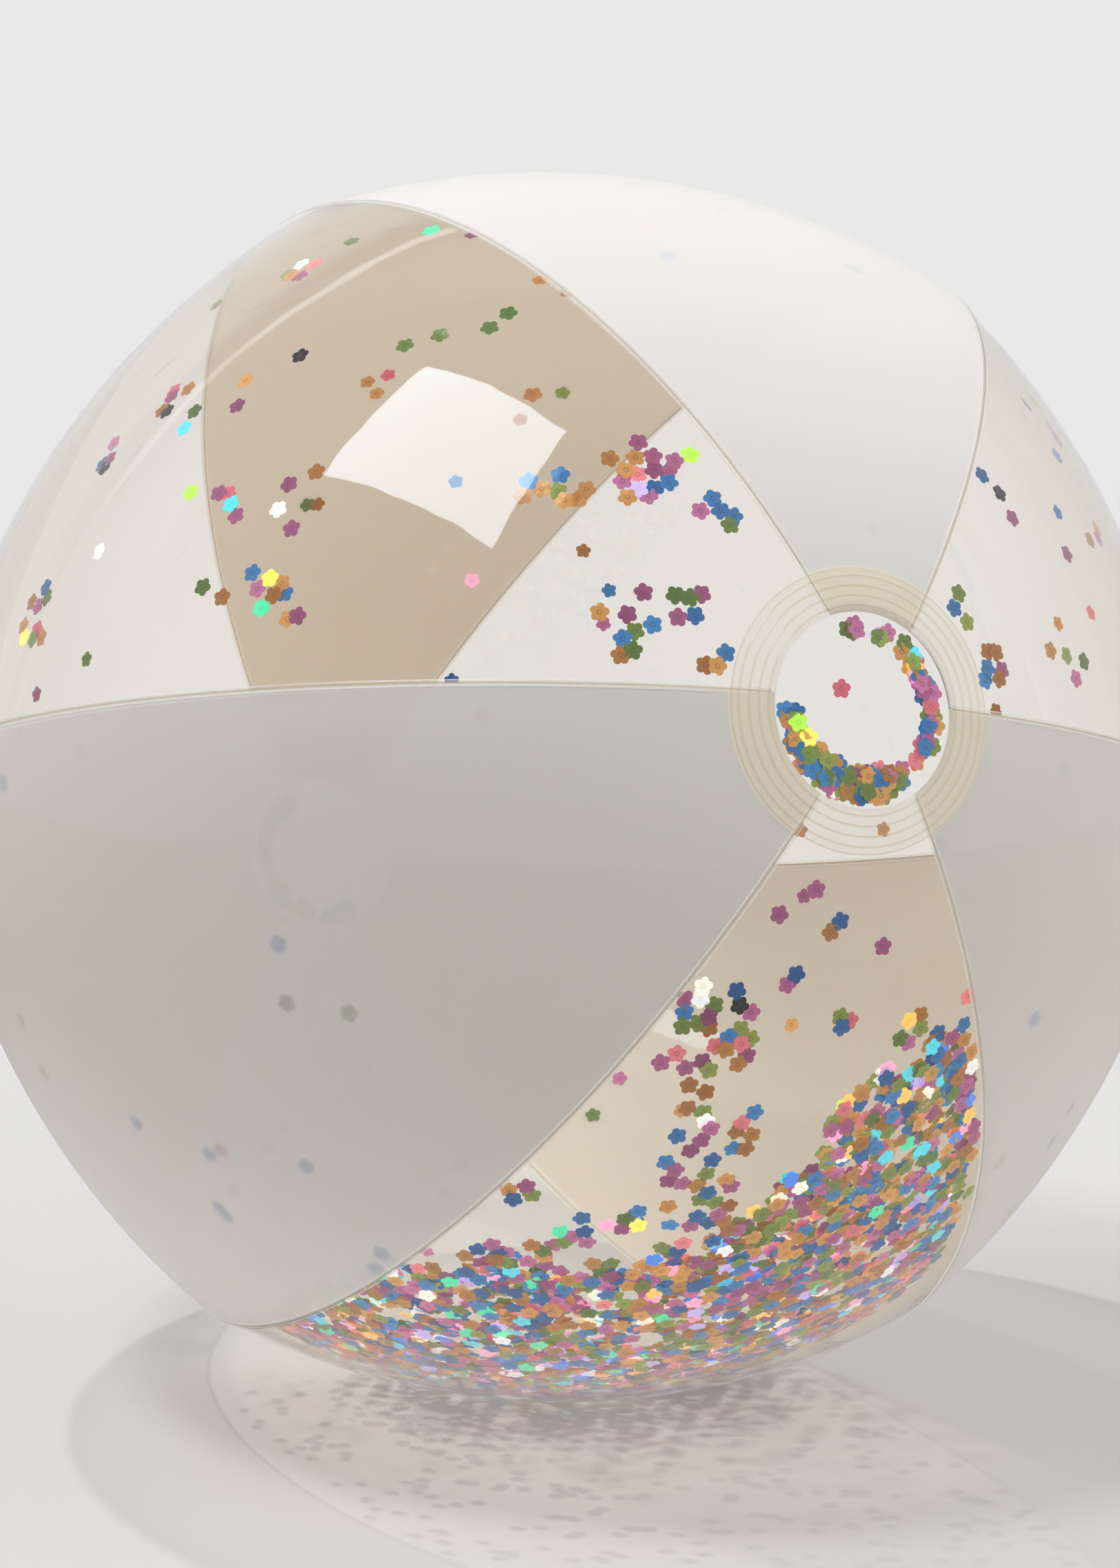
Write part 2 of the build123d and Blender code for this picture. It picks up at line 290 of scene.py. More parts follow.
def clear_film(name, tint, haze, roughness=0.02, inner=False):
    """Clear vinyl: it lets light straight through with a slight tint, and mirrors a little."""
    material, tree = new_material(name)
    graph = Graph(tree)
    position = object_position(graph)
    waves = graph.noise(38.0, 2.0, 0.4, position)
    normal = graph.bump(waves, 0.25, 0.0006)
    clouds = graph.noise(14.0, 3.0, 0.55, position)
    through = graph.node("ShaderNodeBsdfTransparent")
    facing = graph.node("ShaderNodeLayerWeight")
    facing.inputs["Blend"].default_value = 0.5
    edge = graph.math("POWER", facing.outputs["Facing"], 4.0)
    deeper = tuple(channel**3 for channel in tint[:3]) + (1.0,)
    graph.link(graph.colour(edge, tint, deeper), through.inputs["Color"])
    gloss = graph.node("ShaderNodeBsdfGlossy")
    graph.put(gloss, {"Color": (1, 1, 1, 1), "Roughness": roughness, "Normal": normal})
    body = through.outputs[0]
    if not inner:
        milk = graph.node("ShaderNodeBsdfDiffuse")
        milk.inputs["Color"].default_value = (0.9, 0.88, 0.85, 1)
        amount = graph.math("MULTIPLY_ADD", clouds, haze, haze * 0.5)
        body = graph.mix(amount, body, milk.outputs[0])
    graph.finish(graph.mix(film_gloss(graph, normal), body, gloss.outputs[0]))
    return material


def milky_film():
    """White vinyl that glows with the light behind it and hides all but what touches it."""
    material, tree = new_material("milky_film")
    graph = Graph(tree)
    position = object_position(graph)
    clouds = graph.noise(9.0, 4.0, 0.5, position)
    fine = graph.noise(160.0, 2.0, 0.5, position)
    white = graph.colour(clouds, (0.93, 0.93, 0.92, 1), (0.955, 0.955, 0.948, 1))
    # Under the front disc the two layers are welded together and turn cream.
    reach = graph.vector("SUBTRACT", position, tuple(DISC_AXIS * BALL_RADIUS)).outputs[0]
    off_axis = graph.vector("LENGTH", reach).outputs["Value"]
    welded = graph.step(off_axis, DISC_RADIUS + 0.9 * MM, DISC_RADIUS + 0.4 * MM)
    cream = graph.colour(fine, (0.97, 0.92, 0.79, 1), (0.98, 0.94, 0.83, 1))
    skin = graph.colour(welded, white, cream)
    # Seen from inside, the film is painted in the ball's own warm shade, and painted darker still low down, most
    # of all to the right: painted shade.
    back = graph.node("ShaderNodeNewGeometry").outputs["Backfacing"]
    inside = graph.colour(clouds, (0.90, 0.825, 0.69, 1), (0.93, 0.86, 0.73, 1))
    height = graph.node("ShaderNodeSeparateXYZ")
    graph.link(position, height.inputs[0])
    aside = graph.vector("DOT_PRODUCT", position, tuple(RIGHT)).outputs["Value"]
    painted_low_shade = graph.colour(
        graph.step(aside, -0.03, 0.09), (0.87, 0.84, 0.77, 1), (0.69, 0.65, 0.585, 1)
    )
    inside = graph.colour(graph.step(height.outputs["Z"], 0.02, -0.10), inside, painted_low_shade)
    skin = graph.colour(back, skin, inside)
    diffuse = graph.node("ShaderNodeBsdfDiffuse")
    graph.link(skin, diffuse.inputs["Color"])
    glow = graph.node("ShaderNodeBsdfTranslucent")
    graph.link(graph.colour(0.5, skin, (0.92, 0.88, 0.80, 1)), glow.inputs["Color"])
    body = graph.mix(0.24, diffuse.outputs[0], glow.outputs[0])
    through = graph.node("ShaderNodeBsdfTransparent")
    through.inputs["Color"].default_value = (0.95, 0.94, 0.9, 1)
    body = graph.mix(0.95, through.outputs[0], body)
    normal = graph.bump(fine, 0.08, 0.0003)
    gloss = graph.node("ShaderNodeBsdfGlossy")
    graph.put(gloss, {"Roughness": 0.32, "Normal": normal})
    share = graph.math("MULTIPLY", film_fresnel(graph, normal), 0.5)
    body = graph.mix(share, body, gloss.outputs[0])
    # The welded zone under the front disc glows warm: painted light.
    light = graph.node("ShaderNodeEmission")
    light.inputs["Color"].default_value = (1.0, 0.93, 0.79, 1)
    body = graph.mix(graph.math("MULTIPLY", welded, 0.2), body, light.outputs[0])
    slope = graph.node("ShaderNodeLayerWeight")
    slope.inputs["Blend"].default_value = 0.5
    thicker = graph.math("POWER", slope.outputs["Facing"], 2.0)
    share = graph.math("MULTIPLY_ADD", thicker, -0.6, 0.6)
    graph.finish(sheer(graph, body, share, MILKY_SHADE))
    return material


def seam_film():
    """The lap weld: clear vinyl, doubled, with an amber line where the two films meet."""
    material, tree = new_material("seam_film")
    graph = Graph(tree)
    across = graph.attribute("across")
    off_line = graph.math("ABSOLUTE", graph.math("ADD", across, 0.1))
    line = graph.step(off_line, 0.30, 0.14)
    border = graph.step(graph.math("ABSOLUTE", across), 0.72, 0.9)
    grain = graph.noise(900.0, 2.0, 0.5, object_position(graph))
    through = graph.node("ShaderNodeBsdfTransparent")
    tint = graph.colour(line, (0.995, 0.99, 0.98, 1), (0.95, 0.89, 0.80, 1))
    graph.link(tint, through.inputs["Color"])
    milk = graph.node("ShaderNodeBsdfDiffuse")
    pale = graph.colour(line, (0.97, 0.965, 0.95, 1), (0.84, 0.72, 0.56, 1))
    graph.link(pale, milk.inputs["Color"])
    amount = graph.math("MULTIPLY_ADD", border, 0.3, 0.1)
    amount = graph.math("MULTIPLY_ADD", line, 0.25, amount)
    amount = graph.math("MULTIPLY_ADD", grain, 0.08, amount)
    body = graph.mix(amount, through.outputs[0], milk.outputs[0])
    # The weld's borders glow a little: a painted highlight.
    light = graph.node("ShaderNodeEmission")
    light.inputs["Color"].default_value = (1.0, 0.985, 0.96, 1)
    painted_border_glow = graph.math("MULTIPLY_ADD", border, 0.16, 0.05)
    body = graph.mix(painted_border_glow, body, light.outputs[0])
    normal = graph.bump(grain, 0.2, 0.0002)
    gloss = graph.node("ShaderNodeBsdfGlossy")
    graph.put(gloss, {"Roughness": 0.12, "Normal": normal})
    share = graph.math("MULTIPLY", film_gloss(graph, normal), 0.5)
    graph.finish(graph.mix(share, body, gloss.outputs[0]))
    return material


def disc_film():
    """The pole disc: clear vinyl with frosted, cream-coloured weld rings."""
    material, tree = new_material("disc_film")
    graph = Graph(tree)
    position = object_position(graph)
    ring = graph.attribute("ring")
    zone = graph.attribute("welded")
    fine = graph.noise(500.0, 3.0, 0.6, position)
    clouds = graph.noise(60.0, 3.0, 0.6, position)
    clear = graph.colour(zone, (0.998, 0.996, 0.99, 1), (0.998, 0.994, 0.982, 1))
    tint = graph.colour(ring, clear, (0.965, 0.935, 0.885, 1))
    through = graph.node("ShaderNodeBsdfTransparent")
    graph.link(tint, through.inputs["Color"])
    milk = graph.node("ShaderNodeBsdfDiffuse")
    graph.link(graph.colour(ring, (0.93, 0.9, 0.84, 1), (0.88, 0.79, 0.64, 1)), milk.inputs["Color"])
    amount = graph.math("MULTIPLY", zone, graph.math("MULTIPLY_ADD", clouds, 0.06, 0.02))
    amount = graph.math("MULTIPLY_ADD", ring, 0.12, amount)
    body = graph.mix(amount, through.outputs[0], milk.outputs[0])
    normal = graph.bump(fine, 0.10, 0.0003)
    gloss = graph.node("ShaderNodeBsdfGlossy")
    graph.put(gloss, {"Roughness": 0.06, "Normal": normal})
    graph.finish(graph.mix(film_gloss(graph, normal), body, gloss.outputs[0]))
    return material


def vinyl(name, colour, clarity, roughness):
    """Moulded soft vinyl of the valve."""
    material, tree = new_material(name)
    graph = Graph(tree)
    position = object_position(graph)
    clouds = graph.noise(220.0, 3.0, 0.5, position)
    fine = graph.noise(1400.0, 2.0, 0.5, position)
    darker = tuple(channel * 0.88 for channel in colour[:3]) + (1.0,)
    shader = graph.node("ShaderNodeBsdfPrincipled")
    graph.put(
        shader,
        {
            "Base Color": graph.colour(clouds, darker, colour),
            "Roughness": graph.math("MULTIPLY_ADD", fine, 0.15, roughness),
            "IOR": 1.5,
            "Subsurface Weight": 0.25,
            "Subsurface Radius": (0.003, 0.0027, 0.0022),
            "Normal": graph.bump(fine, 0.15, 0.0001),
        },
    )
    through = graph.node("ShaderNodeBsdfTransparent")
    through.inputs["Color"].default_value = (0.95, 0.94, 0.92, 1)
    graph.finish(graph.mix(clarity, shader.outputs[0], through.outputs[0]))
    return material


def part_shadow(graph, shader):
    """Few of the flowers cast a shadow, more of them near the ground: a dark foot, broken edges."""
    height = graph.node("ShaderNodeSeparateXYZ")
    graph.link(object_position(graph), height.inputs[0])
    low = graph.step(height.outputs["Z"], -0.150, -0.1665)
    limit = graph.math("MULTIPLY_ADD", low, 0.62, 0.07)
    share = graph.math("GREATER_THAN", graph.attribute("chance"), limit)
    return sheer(graph, shader, share, (1.0, 0.985, 0.965, 1))


def foil(name, dark, light, metallic=0.15, roughness=0.32):
    """One colour of confetti foil; every flower has its own tone and a darker ring painted round its middle as the
    shade of a pressed dot.
    """
    material, tree = new_material(name)
    graph = Graph(tree)
    tone = graph.attribute("tone")
    bloom = graph.attribute("bloom")
    colour = graph.colour(graph.step(tone, 0.0, 1.0), dark, light)
    colour = graph.colour(graph.step(tone, 1.05, 1.15), colour, NIGHT)
    # The pressed dot's edge is a darker ring in the colour: painted shade.
    ring = graph.math(
        "MULTIPLY", graph.step(bloom, 0.34, 0.26), graph.step(bloom, 0.14, 0.22)
    )
    pressed_ring_shade = tuple(channel * 0.6 for channel in dark[:3]) + (1.0,)
    colour = graph.colour(graph.math("MULTIPLY", ring, 0.55), colour, pressed_ring_shade)
    grain = graph.noise(2600.0, 2.0, 0.5, object_position(graph))
    # The foil glows faintly in its own colour: painted light that keeps the flowers bright.
    shader = graph.node("ShaderNodeBsdfPrincipled")
    graph.put(
        shader,
        {
            "Base Color": colour,
            "Metallic": metallic,
            "Roughness": graph.math("MULTIPLY_ADD", grain, 0.12, roughness - 0.06),
            "Coat Weight": 0.4,
            "Coat Roughness": 0.12,
            "Emission Color": colour,
            "Emission Strength": 0.24,
            "Normal": graph.bump(grain, 0.1, 0.00005),
        },
    )
    glow = graph.node("ShaderNodeBsdfTranslucent")
    graph.link(colour, glow.inputs["Color"])
    body = graph.mix(0.3, shader.outputs[0], glow.outputs[0])
    graph.finish(part_shadow(graph, body))
    return material


def iridescent_foil():
    """Confetti painted in one of several bright flash colours, a different one on each flower, and glowing in it:
    painted glints.
    """
    material, tree = new_material("foil_iridescent")
    graph = Graph(tree)
    ramp = graph.node("ShaderNodeValToRGB")
    ramp.color_ramp.interpolation = "CONSTANT"
    painted_glints = (
        (250, 244, 96),
        (176, 240, 70),
        (60, 226, 170),
        (70, 216, 240),
        (244, 248, 250),
        (196, 180, 250),
        (250, 176, 214),
        (255, 206, 96),
        (60, 130, 240),
        (250, 250, 236),
    )
    elements = ramp.color_ramp.elements
    while len(elements) < len(painted_glints):
        elements.new(0.5)
    for number, glint in enumerate(painted_glints):
        elements[number].position = number / len(painted_glints)
        elements[number].color = srgb(*glint)
    graph.link(graph.attribute("tone"), ramp.inputs[0])
    # The pressed dot's edge is a darker ring in the colour: painted shade.
    bloom = graph.attribute("bloom")
    ring = graph.math(
        "MULTIPLY", graph.step(bloom, 0.34, 0.26), graph.step(bloom, 0.14, 0.22)
    )
    colour = graph.colour(graph.math("MULTIPLY", ring, 0.3), ramp.outputs[0], srgb(90, 110, 90))
    # The flowers glow in their flash colour: painted light.
    shader = graph.node("ShaderNodeBsdfPrincipled")
    graph.put(
        shader,
        {
            "Base Color": colour,
            "Metallic": 0.2,
            "Roughness": 0.25,
            "Coat Weight": 0.6,
            "Coat Roughness": 0.1,
            "Emission Color": colour,
            "Emission Strength": 0.6,
        },
    )
    graph.finish(part_shadow(graph, shader.outputs[0]))
    return material


CLEAR_TINT = (0.999, 0.990, 0.974, 1)
clear_outside = clear_film("clear_film", CLEAR_TINT, 0.015)
film_inside = clear_film("film_inside", CLEAR_TINT, 0.0, inner=True)
milky_outside = milky_film()
seam_material = seam_film()
disc_material = disc_film()

# ------------------------------------------------------------------ mesh helpers


def add_mesh(name, points, faces, materials, face_materials=None, smooth=True, values=None):
    """A mesh object from arrays, with optional float values per vertex."""
    mesh = bpy.data.meshes.new(name)
    mesh.from_pydata(np.asarray(points).tolist(), [], faces)
    for material in materials:
        mesh.materials.append(material)
    if face_materials is not None:
        mesh.polygons.foreach_set("material_index", face_materials)
    mesh.polygons.foreach_set("use_smooth", [smooth] * len(mesh.polygons))
    for key, data in (values or {}).items():
        attribute = mesh.attributes.new(key, "FLOAT", "POINT")
        attribute.data.foreach_set("value", np.asarray(data, np.float32))
    mesh.update()
    made = bpy.data.objects.new(name, mesh)
    bpy.context.collection.objects.link(made)
    return made


def grid_faces(rows, columns, start=0, flip=False, wrap=False):
    """Quads over a grid of vertices stored row by row."""
    faces = []
    for row in range(rows - 1):
        for column in range(columns if wrap else columns - 1):
            after = (column + 1) % columns
            quad = [
                start + row * columns + column,
                start + (row + 1) * columns + column,
                start + (row + 1) * columns + after,
                start + row * columns + after,
            ]
            faces.append(quad[::-1] if flip else quad)
    return faces


def sheet(outer, inner):
    """Closed shell between two equal grids: (points, faces, number of faces on the outer grid)."""
    rows, columns = outer.shape[:2]
    size = rows * columns
    points = np.concatenate([outer.reshape(-1, 3), inner.reshape(-1, 3)])
    faces = grid_faces(rows, columns)
    outer_count = len(faces)
    faces += grid_faces(rows, columns, start=size, flip=True)
    border = [(0, column) for column in range(columns)]
    border += [(row, columns - 1) for row in range(1, rows)]
    border += [(rows - 1, column) for column in range(columns - 2, -1, -1)]
    border += [(row, 0) for row in range(rows - 2, 0, -1)]
    loop = [row * columns + column for row, column in border]
    for here, after in zip(loop, loop[1:] + loop[:1]):
        faces.append([here, after, after + size, here + size])
    return points, faces, outer_count


def smoothstep(value, low, high):
    share = np.clip((value - low) / (high - low), 0, 1)
    return share * share * (3 - 2 * share)


# ------------------------------------------------------------------ gores

GORE_NODES = (
    "gore_milky_top",
    "gore_clear_left",
    "gore_milky_left",
    "gore_clear_bottom",
    "gore_milky_right",
    "gore_clear_right",
)
ROWS = 150
COLUMNS = 56
WOBBLE = 0.35 * MM
SEAM_GAP = 0.03 * MM


def wobble(points):
    """A slow unevenness of the blown-up film, in metres, along the outward direction."""
    return np.array([noise.noise(Vector(p) * 11.0) for p in points.reshape(-1, 3)]).reshape(
        points.shape[:-1]
    )


def gore_mesh(index, name):
    # Columns crowd towards the seams, where the film is most curved.
    share = np.sin(np.linspace(-math.pi / 2, math.pi / 2, COLUMNS))[None, :]
    share = 0.35 * share + 0.65 * np.linspace(-1, 1, COLUMNS)[None, :]
    # The front opening is round about the shifted disc.
    end = math.asin(OPENING / BALL_RADIUS)
    rough = index * 2 * HALF_GORE + share * HALF_GORE
    start = end + DISC_SHIFT * np.cos(rough - DISC_SHIFT_TURN)
    down = np.linspace(0, 1, ROWS)[:, None]
    polar = start + (math.pi - end - start) * down
    gap = SEAM_GAP / BALL_RADIUS / np.sin(polar)
    azimuth = index * 2 * HALF_GORE + share * (HALF_GORE - gap)
    side = azimuth - index * 2 * HALF_GORE
    nudged = np.clip(side, -HALF_GORE * 0.99999, HALF_GORE * 0.99999) + index * 2 * HALF_GORE
    outer = ball_point(polar, nudged)
    inner = ball_point(polar, nudged, FILM)
    outward = outer / np.linalg.norm(outer, axis=-1)[..., None]
    calm = 1 - smoothstep(np.abs(share), 0.8, 1.0) * np.ones_like(polar)
    calm = calm * smoothstep(np.sin(polar) * BALL_RADIUS, DISC_RADIUS, 3 * DISC_RADIUS)
    shift = (wobble(outer) * WOBBLE * calm)[..., None] * outward
    outer, inner = outer + shift, inner + shift
    outer[..., 2] = np.maximum(outer[..., 2], GROUND)
    inner[..., 2] = np.maximum(inner[..., 2], GROUND + FILM)
    points, faces, outer_count = sheet(outer, inner)
    outside = milky_outside if "milky" in name else clear_outside
    slots = [0] * outer_count + [1] * (len(faces) - outer_count)
    gore = add_mesh(name.replace("gore", "film"), points, faces, [outside, film_inside], slots)
    return gore


VALVE_AXIS = np_unit(joints["valve_stem_slide"]["axis"])
LIP_TOP = 0.6 * MM
VALVE_SPOT = np.array(mounts["inflation_valve"]["pos_m"]) - VALVE_AXIS * LIP_TOP
VALVE_HOLE = 10.5 * MM


def cut_valve_hole(gore):
    """Cuts the round hole for the valve through the film."""
    bpy.ops.mesh.primitive_cylinder_add(
        vertices=96,
        radius=VALVE_HOLE,
        depth=0.02,
        location=VALVE_SPOT,
        rotation=Vector(VALVE_AXIS).to_track_quat("Z", "Y").to_euler(),
    )
    cutter = bpy.context.object
    modifier = gore.modifiers.new("hole", "BOOLEAN")
    modifier.operation = "DIFFERENCE"
    modifier.solver = "EXACT"
    modifier.object = cutter
    bpy.context.view_layer.update()
    depsgraph = bpy.context.evaluated_depsgraph_get()
    cut = bpy.data.meshes.new_from_object(gore.evaluated_get(depsgraph))
    gore.modifiers.clear()
    gore.data = cut
    bpy.data.objects.remove(cutter, do_unlink=True)


for index, name in enumerate(GORE_NODES):
    gore = gore_mesh(index, name)
    if name == "gore_milky_left":
        cut_valve_hole(gore)
    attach(gore, "ball")
    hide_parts(name)

# ------------------------------------------------------------------ seams

SEAM_RISE = 0.22 * MM
SEAM_ROWS = 200
# Across the lap: place as a share of its half width, and height over the film.
SEAM_SECTION = (
    (-1.0, -0.05),
    (-0.96, 0.75),
    (-0.8, 1.0),
    (-0.62, 0.7),
    (-0.3, 0.62),
    (0.0, 0.66),
    (0.3, 0.62),
    (0.62, 0.7),
    (0.8, 1.0),
    (0.96, 0.75),
    (1.0, -0.05),
)
FALL = math.tan(math.radians(5.5))  # slope of the film away from the ridge


def seam_mesh(index):
    azimuth = (index + 0.5) * 2 * HALF_GORE
    end = math.asin((OPENING + 1 * MM) / BALL_RADIUS)
    start = end + DISC_SHIFT * math.cos(azimuth - DISC_SHIFT_TURN)
    polar = np.linspace(start, math.pi - end, SEAM_ROWS)
    middle = np.array([math.cos(azimuth), math.sin(azimuth), 0]) @ POLE_MATRIX
    across = np.cross(POLE, middle)
    out = np.sin(polar)[:, None] * middle + np.cos(polar)[:, None] * POLE
    off_axis = np.sin(polar) * BALL_RADIUS
    height = SEAM_RISE * (0.1 + 0.9 * smoothstep(off_axis, DISC_RADIUS + 3.5 * MM, DISC_RADIUS + 7 * MM))
    half = SEAM_WIDTH / 2
    top, base, shares = [], [], []
    for share, rise in SEAM_SECTION:
        drop = abs(share) * half * FALL * smoothstep(off_axis, 0.0, 0.12)
        level = BALL_RADIUS - drop + height * rise
        top.append(out * level[:, None] + across * share * half)
        base.append(out * (BALL_RADIUS - drop - 0.06 * MM)[:, None] + across * share * half)
        shares.append(share)
    outer = np.stack(top, axis=1)
    inner = np.stack(base, axis=1)
    outer[..., 2] = np.maximum(outer[..., 2], GROUND)
    inner[..., 2] = np.maximum(inner[..., 2], GROUND)
    points, faces, _ = sheet(outer, inner)
    values = {"across": np.tile(np.tile(shares, SEAM_ROWS), 2)}
    seam = add_mesh(f"seam_{index}", points, faces, [seam_material], values=values)
    return seam


for index in range(GORE_COUNT):
    seam = seam_mesh(index)
    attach(seam, "ball")

# ------------------------------------------------------------------ pole discs

RIBS = (26.0, 28.5, 31.0, 33.5)  # millimetres from the pole
RIB_HEIGHT = 0.3
DISC_TURNS = 160


def disc_profile():
    """Radius, height of the ribs, ring value and weld value from the middle to the rim, millimetres."""
    radii = np.concatenate([np.linspace(0.8, 23.0, 18), np.linspace(23.1, 35.5, 125)])
    ribs = sum(np.exp(-(((radii - rib) / 0.26) ** 2)) for rib in RIBS)
    rim = smoothstep(radii, 35.0, 35.3)
    welded = smoothstep(radii, 23.9, 24.4)
    return radii, ribs, np.maximum(ribs, rim * 0.8), welded


def disc_mesh(name, axis):
    radii, ribs, ring, welded = disc_profile()
    turn = np.linspace(0, 2 * math.pi, DISC_TURNS, endpoint=False)
    side = np_unit(TOP_MIDDLE - TOP_MIDDLE @ axis * axis)
    other = np.cross(axis, side)
    spoke = np.cos(turn)[:, None] * side + np.sin(turn)[:, None] * other
    points, values_ring, values_weld = [], [], []
    sphere = BALL_RADIUS + 0.1 * MM
    for extra, lift in ((0.45 * MM, 1.0), (0.0, 0.0)):
        for radius, rib, mark, weld in zip(radii * MM, ribs, ring, welded):
            level = math.sqrt(sphere**2 - radius**2) + extra * (1 - 0.5 * (radius >= DISC_RADIUS))
            level += rib * RIB_HEIGHT * MM * lift
            points.append(spoke * radius + axis * level)
            values_ring += [mark] * DISC_TURNS
            values_weld += [weld] * DISC_TURNS
        points.append((axis * (sphere + extra))[None, :])
        values_ring.append(0.0)
        values_weld.append(0.0)
    rows = len(radii)
    size = rows * DISC_TURNS + 1
    faces = grid_faces(rows, DISC_TURNS, wrap=True)
    faces += grid_faces(rows, DISC_TURNS, start=size, flip=True, wrap=True)
    for column in range(DISC_TURNS):
        after = (column + 1) % DISC_TURNS
        faces.append([size - 1, column, after])
        faces.append([2 * size - 1, size + after, size + column])
        rim = (rows - 1) * DISC_TURNS
        faces.append([rim + column, size + rim + column, size + rim + after, rim + after])
    disc = add_mesh(
        name,
        np.concatenate(points),
        faces,
        [disc_material],
        values={"ring": values_ring, "welded": values_weld},
    )
    return disc


for name, axis in (("pole_disc_front", DISC_AXIS), ("pole_disc_rear", -POLE)):
    disc = disc_mesh(name.replace("pole_disc", "welded_disc"), axis)
    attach(disc, "ball")
    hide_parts(name)

# ------------------------------------------------------------------ valve

valve_vinyl = vinyl("valve_vinyl", (0.93, 0.92, 0.895, 1), 0.1, 0.28)
flap_vinyl = vinyl("flap_vinyl", (0.86, 0.84, 0.79, 1), 0.35, 0.2)
for name in ("valve_base", "valve_stem", "valve_plug"):
    for material_slot in nodes[name].material_slots:
        material_slot.material = valve_vinyl
for material_slot in nodes["valve_flap"].material_slots:
    material_slot.material = flap_vinyl


def onto_film(points, inset):
    """The same directions from the ball's centre, put on the film."""
    local = points @ POLE_MATRIX.T
    polar = np.arccos(local[..., 2] / np.linalg.norm(local, axis=-1))
    azimuth = np.arctan2(local[..., 1], local[..., 0])
    return ball_point(polar, azimuth, inset)


# Plug side of the valve: the tab points along +X there, the strap along -X.
tab = node_points("valve_plug").mean(axis=0) - VALVE_SPOT
VALVE_X = np_unit(tab - tab @ VALVE_AXIS * VALVE_AXIS)
VALVE_Y = np.cross(VALVE_AXIS, VALVE_X)


def valve_place(x, y, z):
    """A place from valve coordinates in millimetres."""
    return VALVE_SPOT + (VALVE_X * x + VALVE_Y * y + VALVE_AXIS * z) * MM


def weld_ring():
    """The round weld that holds the valve's flange under the film."""
    turn = np.linspace(0, 2 * math.pi, 96, endpoint=False)
    radii = (10.6, 11.0, 12.4, 12.7, 13.0, 14.4, 14.7, 15.0, 16.3, 16.8)
    rises = (0.05, 0.16, 0.16, 0.3, 0.16, 0.16, 0.3, 0.16, 0.16, 0.02)
    rows = []
    for layer in (1, 0):
        for radius, rise in zip(radii, rises):
            ring = np.stack([valve_place(radius * math.cos(t), radius * math.sin(t), 0) for t in turn])
            on_film = onto_film(ring, 0.0)
            rows.append(on_film + VALVE_AXIS * (rise * MM if layer else -0.02 * MM))
    count = len(radii)
    faces = grid_faces(count, 96, wrap=True)
    faces += grid_faces(count, 96, start=count * 96, flip=True, wrap=True)
    for edge in (0, count - 1):
        for column in range(96):
            after = (column + 1) % 96
            first, second = edge * 96, (count + edge) * 96
            quad = [first + column, second + column, second + after, first + after]
            faces.append(quad if edge else quad[::-1])
    return add_mesh("valve_weld", np.concatenate(rows), faces, [valve_vinyl])


weld = weld_ring()
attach(weld, "ball")


def strap_mesh():
    """The soft strap, folded back over itself, from the stem's lip to the plug's head."""
    half, thick, bend_x, middle, turn_radius = 2.0, 0.7, -14.0, 0.875, 0.625
    path = [(x, middle - turn_radius, (0, -1)) for x in np.linspace(-8.7, bend_x, 8)]
    for angle in np.linspace(-90, -270, 13)[1:-1]:
        out = (math.cos(math.radians(angle)), math.sin(math.radians(angle)))
        path.append((bend_x + turn_radius * out[0], middle + turn_radius * out[1], out))
    path += [(x, middle + turn_radius, (0, 1)) for x in np.linspace(bend_x, -5.5, 12)]
    section = [(-1, -0.5), (-0.86, -1), (0, -1), (0.86, -1), (1, -0.5), (1, 0.5), (0.86, 1), (0, 1)]
    section += [(-0.86, 1), (-1, 0.5)]
    points = []
    for x, z, out in path:
        for across, through in section:
            lift = through * thick / 2
            points.append(valve_place(x + out[0] * lift, across * half, z + out[1] * lift))
    count = len(section)
    faces = grid_faces(len(path), count, wrap=True)
    faces.append(list(range(count)))
    last = (len(path) - 1) * count
    faces.append([last + number for number in reversed(range(count))])
    return add_mesh("strap_ribbon", points, faces, [valve_vinyl])


strap = strap_mesh()
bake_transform(strap)
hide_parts("valve_strap")

# ------------------------------------------------------------------ confetti

random.seed(11)
FLOWER_SAMPLES = (-36, -24, -8, 8, 24)  # degrees from a petal's middle
PETAL_CENTRE = 1.45 * MM
PETAL_RADIUS = 1.05 * MM
FOIL = 0.1 * MM


def flower_outline():
    """Corners of a five-petalled flower, in its own plane."""
    corners = []
    for petal in range(5):
        for sample in FLOWER_SAMPLES:
            off = math.radians(sample)
            reach = PETAL_CENTRE * math.cos(off) + math.sqrt(
                PETAL_RADIUS**2 - (PETAL_CENTRE * math.sin(off)) ** 2
            )
            turn = math.radians(72 * petal + sample)
            corners.append((reach * math.cos(turn), reach * math.sin(turn)))
    return np.array(corners)


OUTLINE = flower_outline()
CORNERS = len(OUTLINE)


def flower_faces(start):
    """Top fan, bottom fan and edge of one flower, whose vertices start at a number."""
    top, bottom = start + 1, start + CORNERS + 2
    faces = []
    for corner in range(CORNERS):
        after = (corner + 1) % CORNERS
        faces.append((start, top + corner, top + after))
        faces.append((bottom - 1, bottom + after, bottom + corner))
        faces.append((top + corner, bottom + corner, bottom + after, top + after))
    return faces


